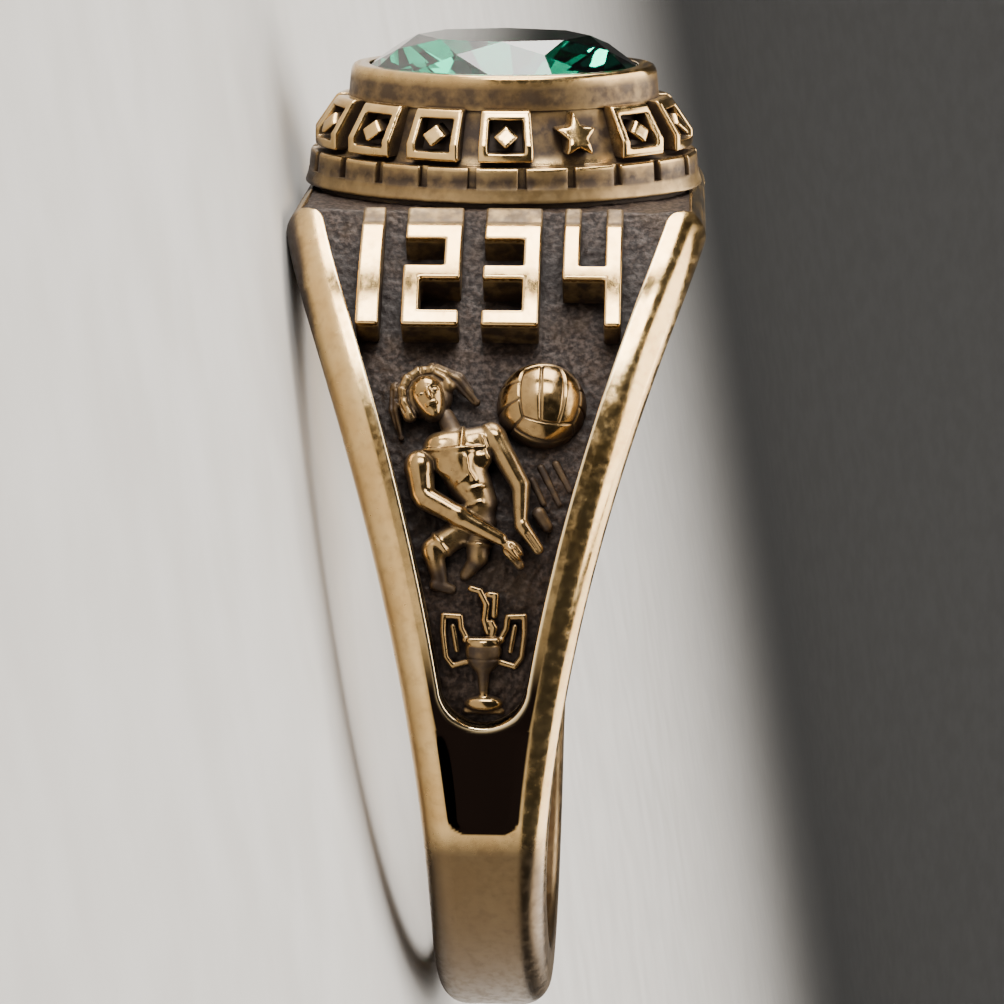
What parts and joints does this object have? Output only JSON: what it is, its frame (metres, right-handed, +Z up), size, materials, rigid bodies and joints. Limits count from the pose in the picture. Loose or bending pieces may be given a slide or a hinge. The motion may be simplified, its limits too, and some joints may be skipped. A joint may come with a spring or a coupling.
{
  "type": "class ring",
  "caption": "Class ring lying on its side: tapered band, recessed panel with raised numerals, ball player and cup, oval head with ornament, faceted green stone.",
  "frame": {"origin": "centre of the ring's box on the surface it lies on", "axes": "the ring lies on its side: -X towards the stone, -Y out of the decorated side panel, +Z up, with the finger hole's axis leaning 9.84 degrees from +Z towards +X"},
  "size_m": [0.0248, 0.021, 0.01],
  "materials": {
    "antiqued_gold": "polished yellow gold on raised faces and rims, dark antiquing in the recesses, fine scratches on the band",
    "green_stone": "clear faceted green stone, polished"
  },
  "bodies": {
    "root": {"ring_body": "antiqued_gold", "stone": "green_stone"}
  },
  "joints": []
}
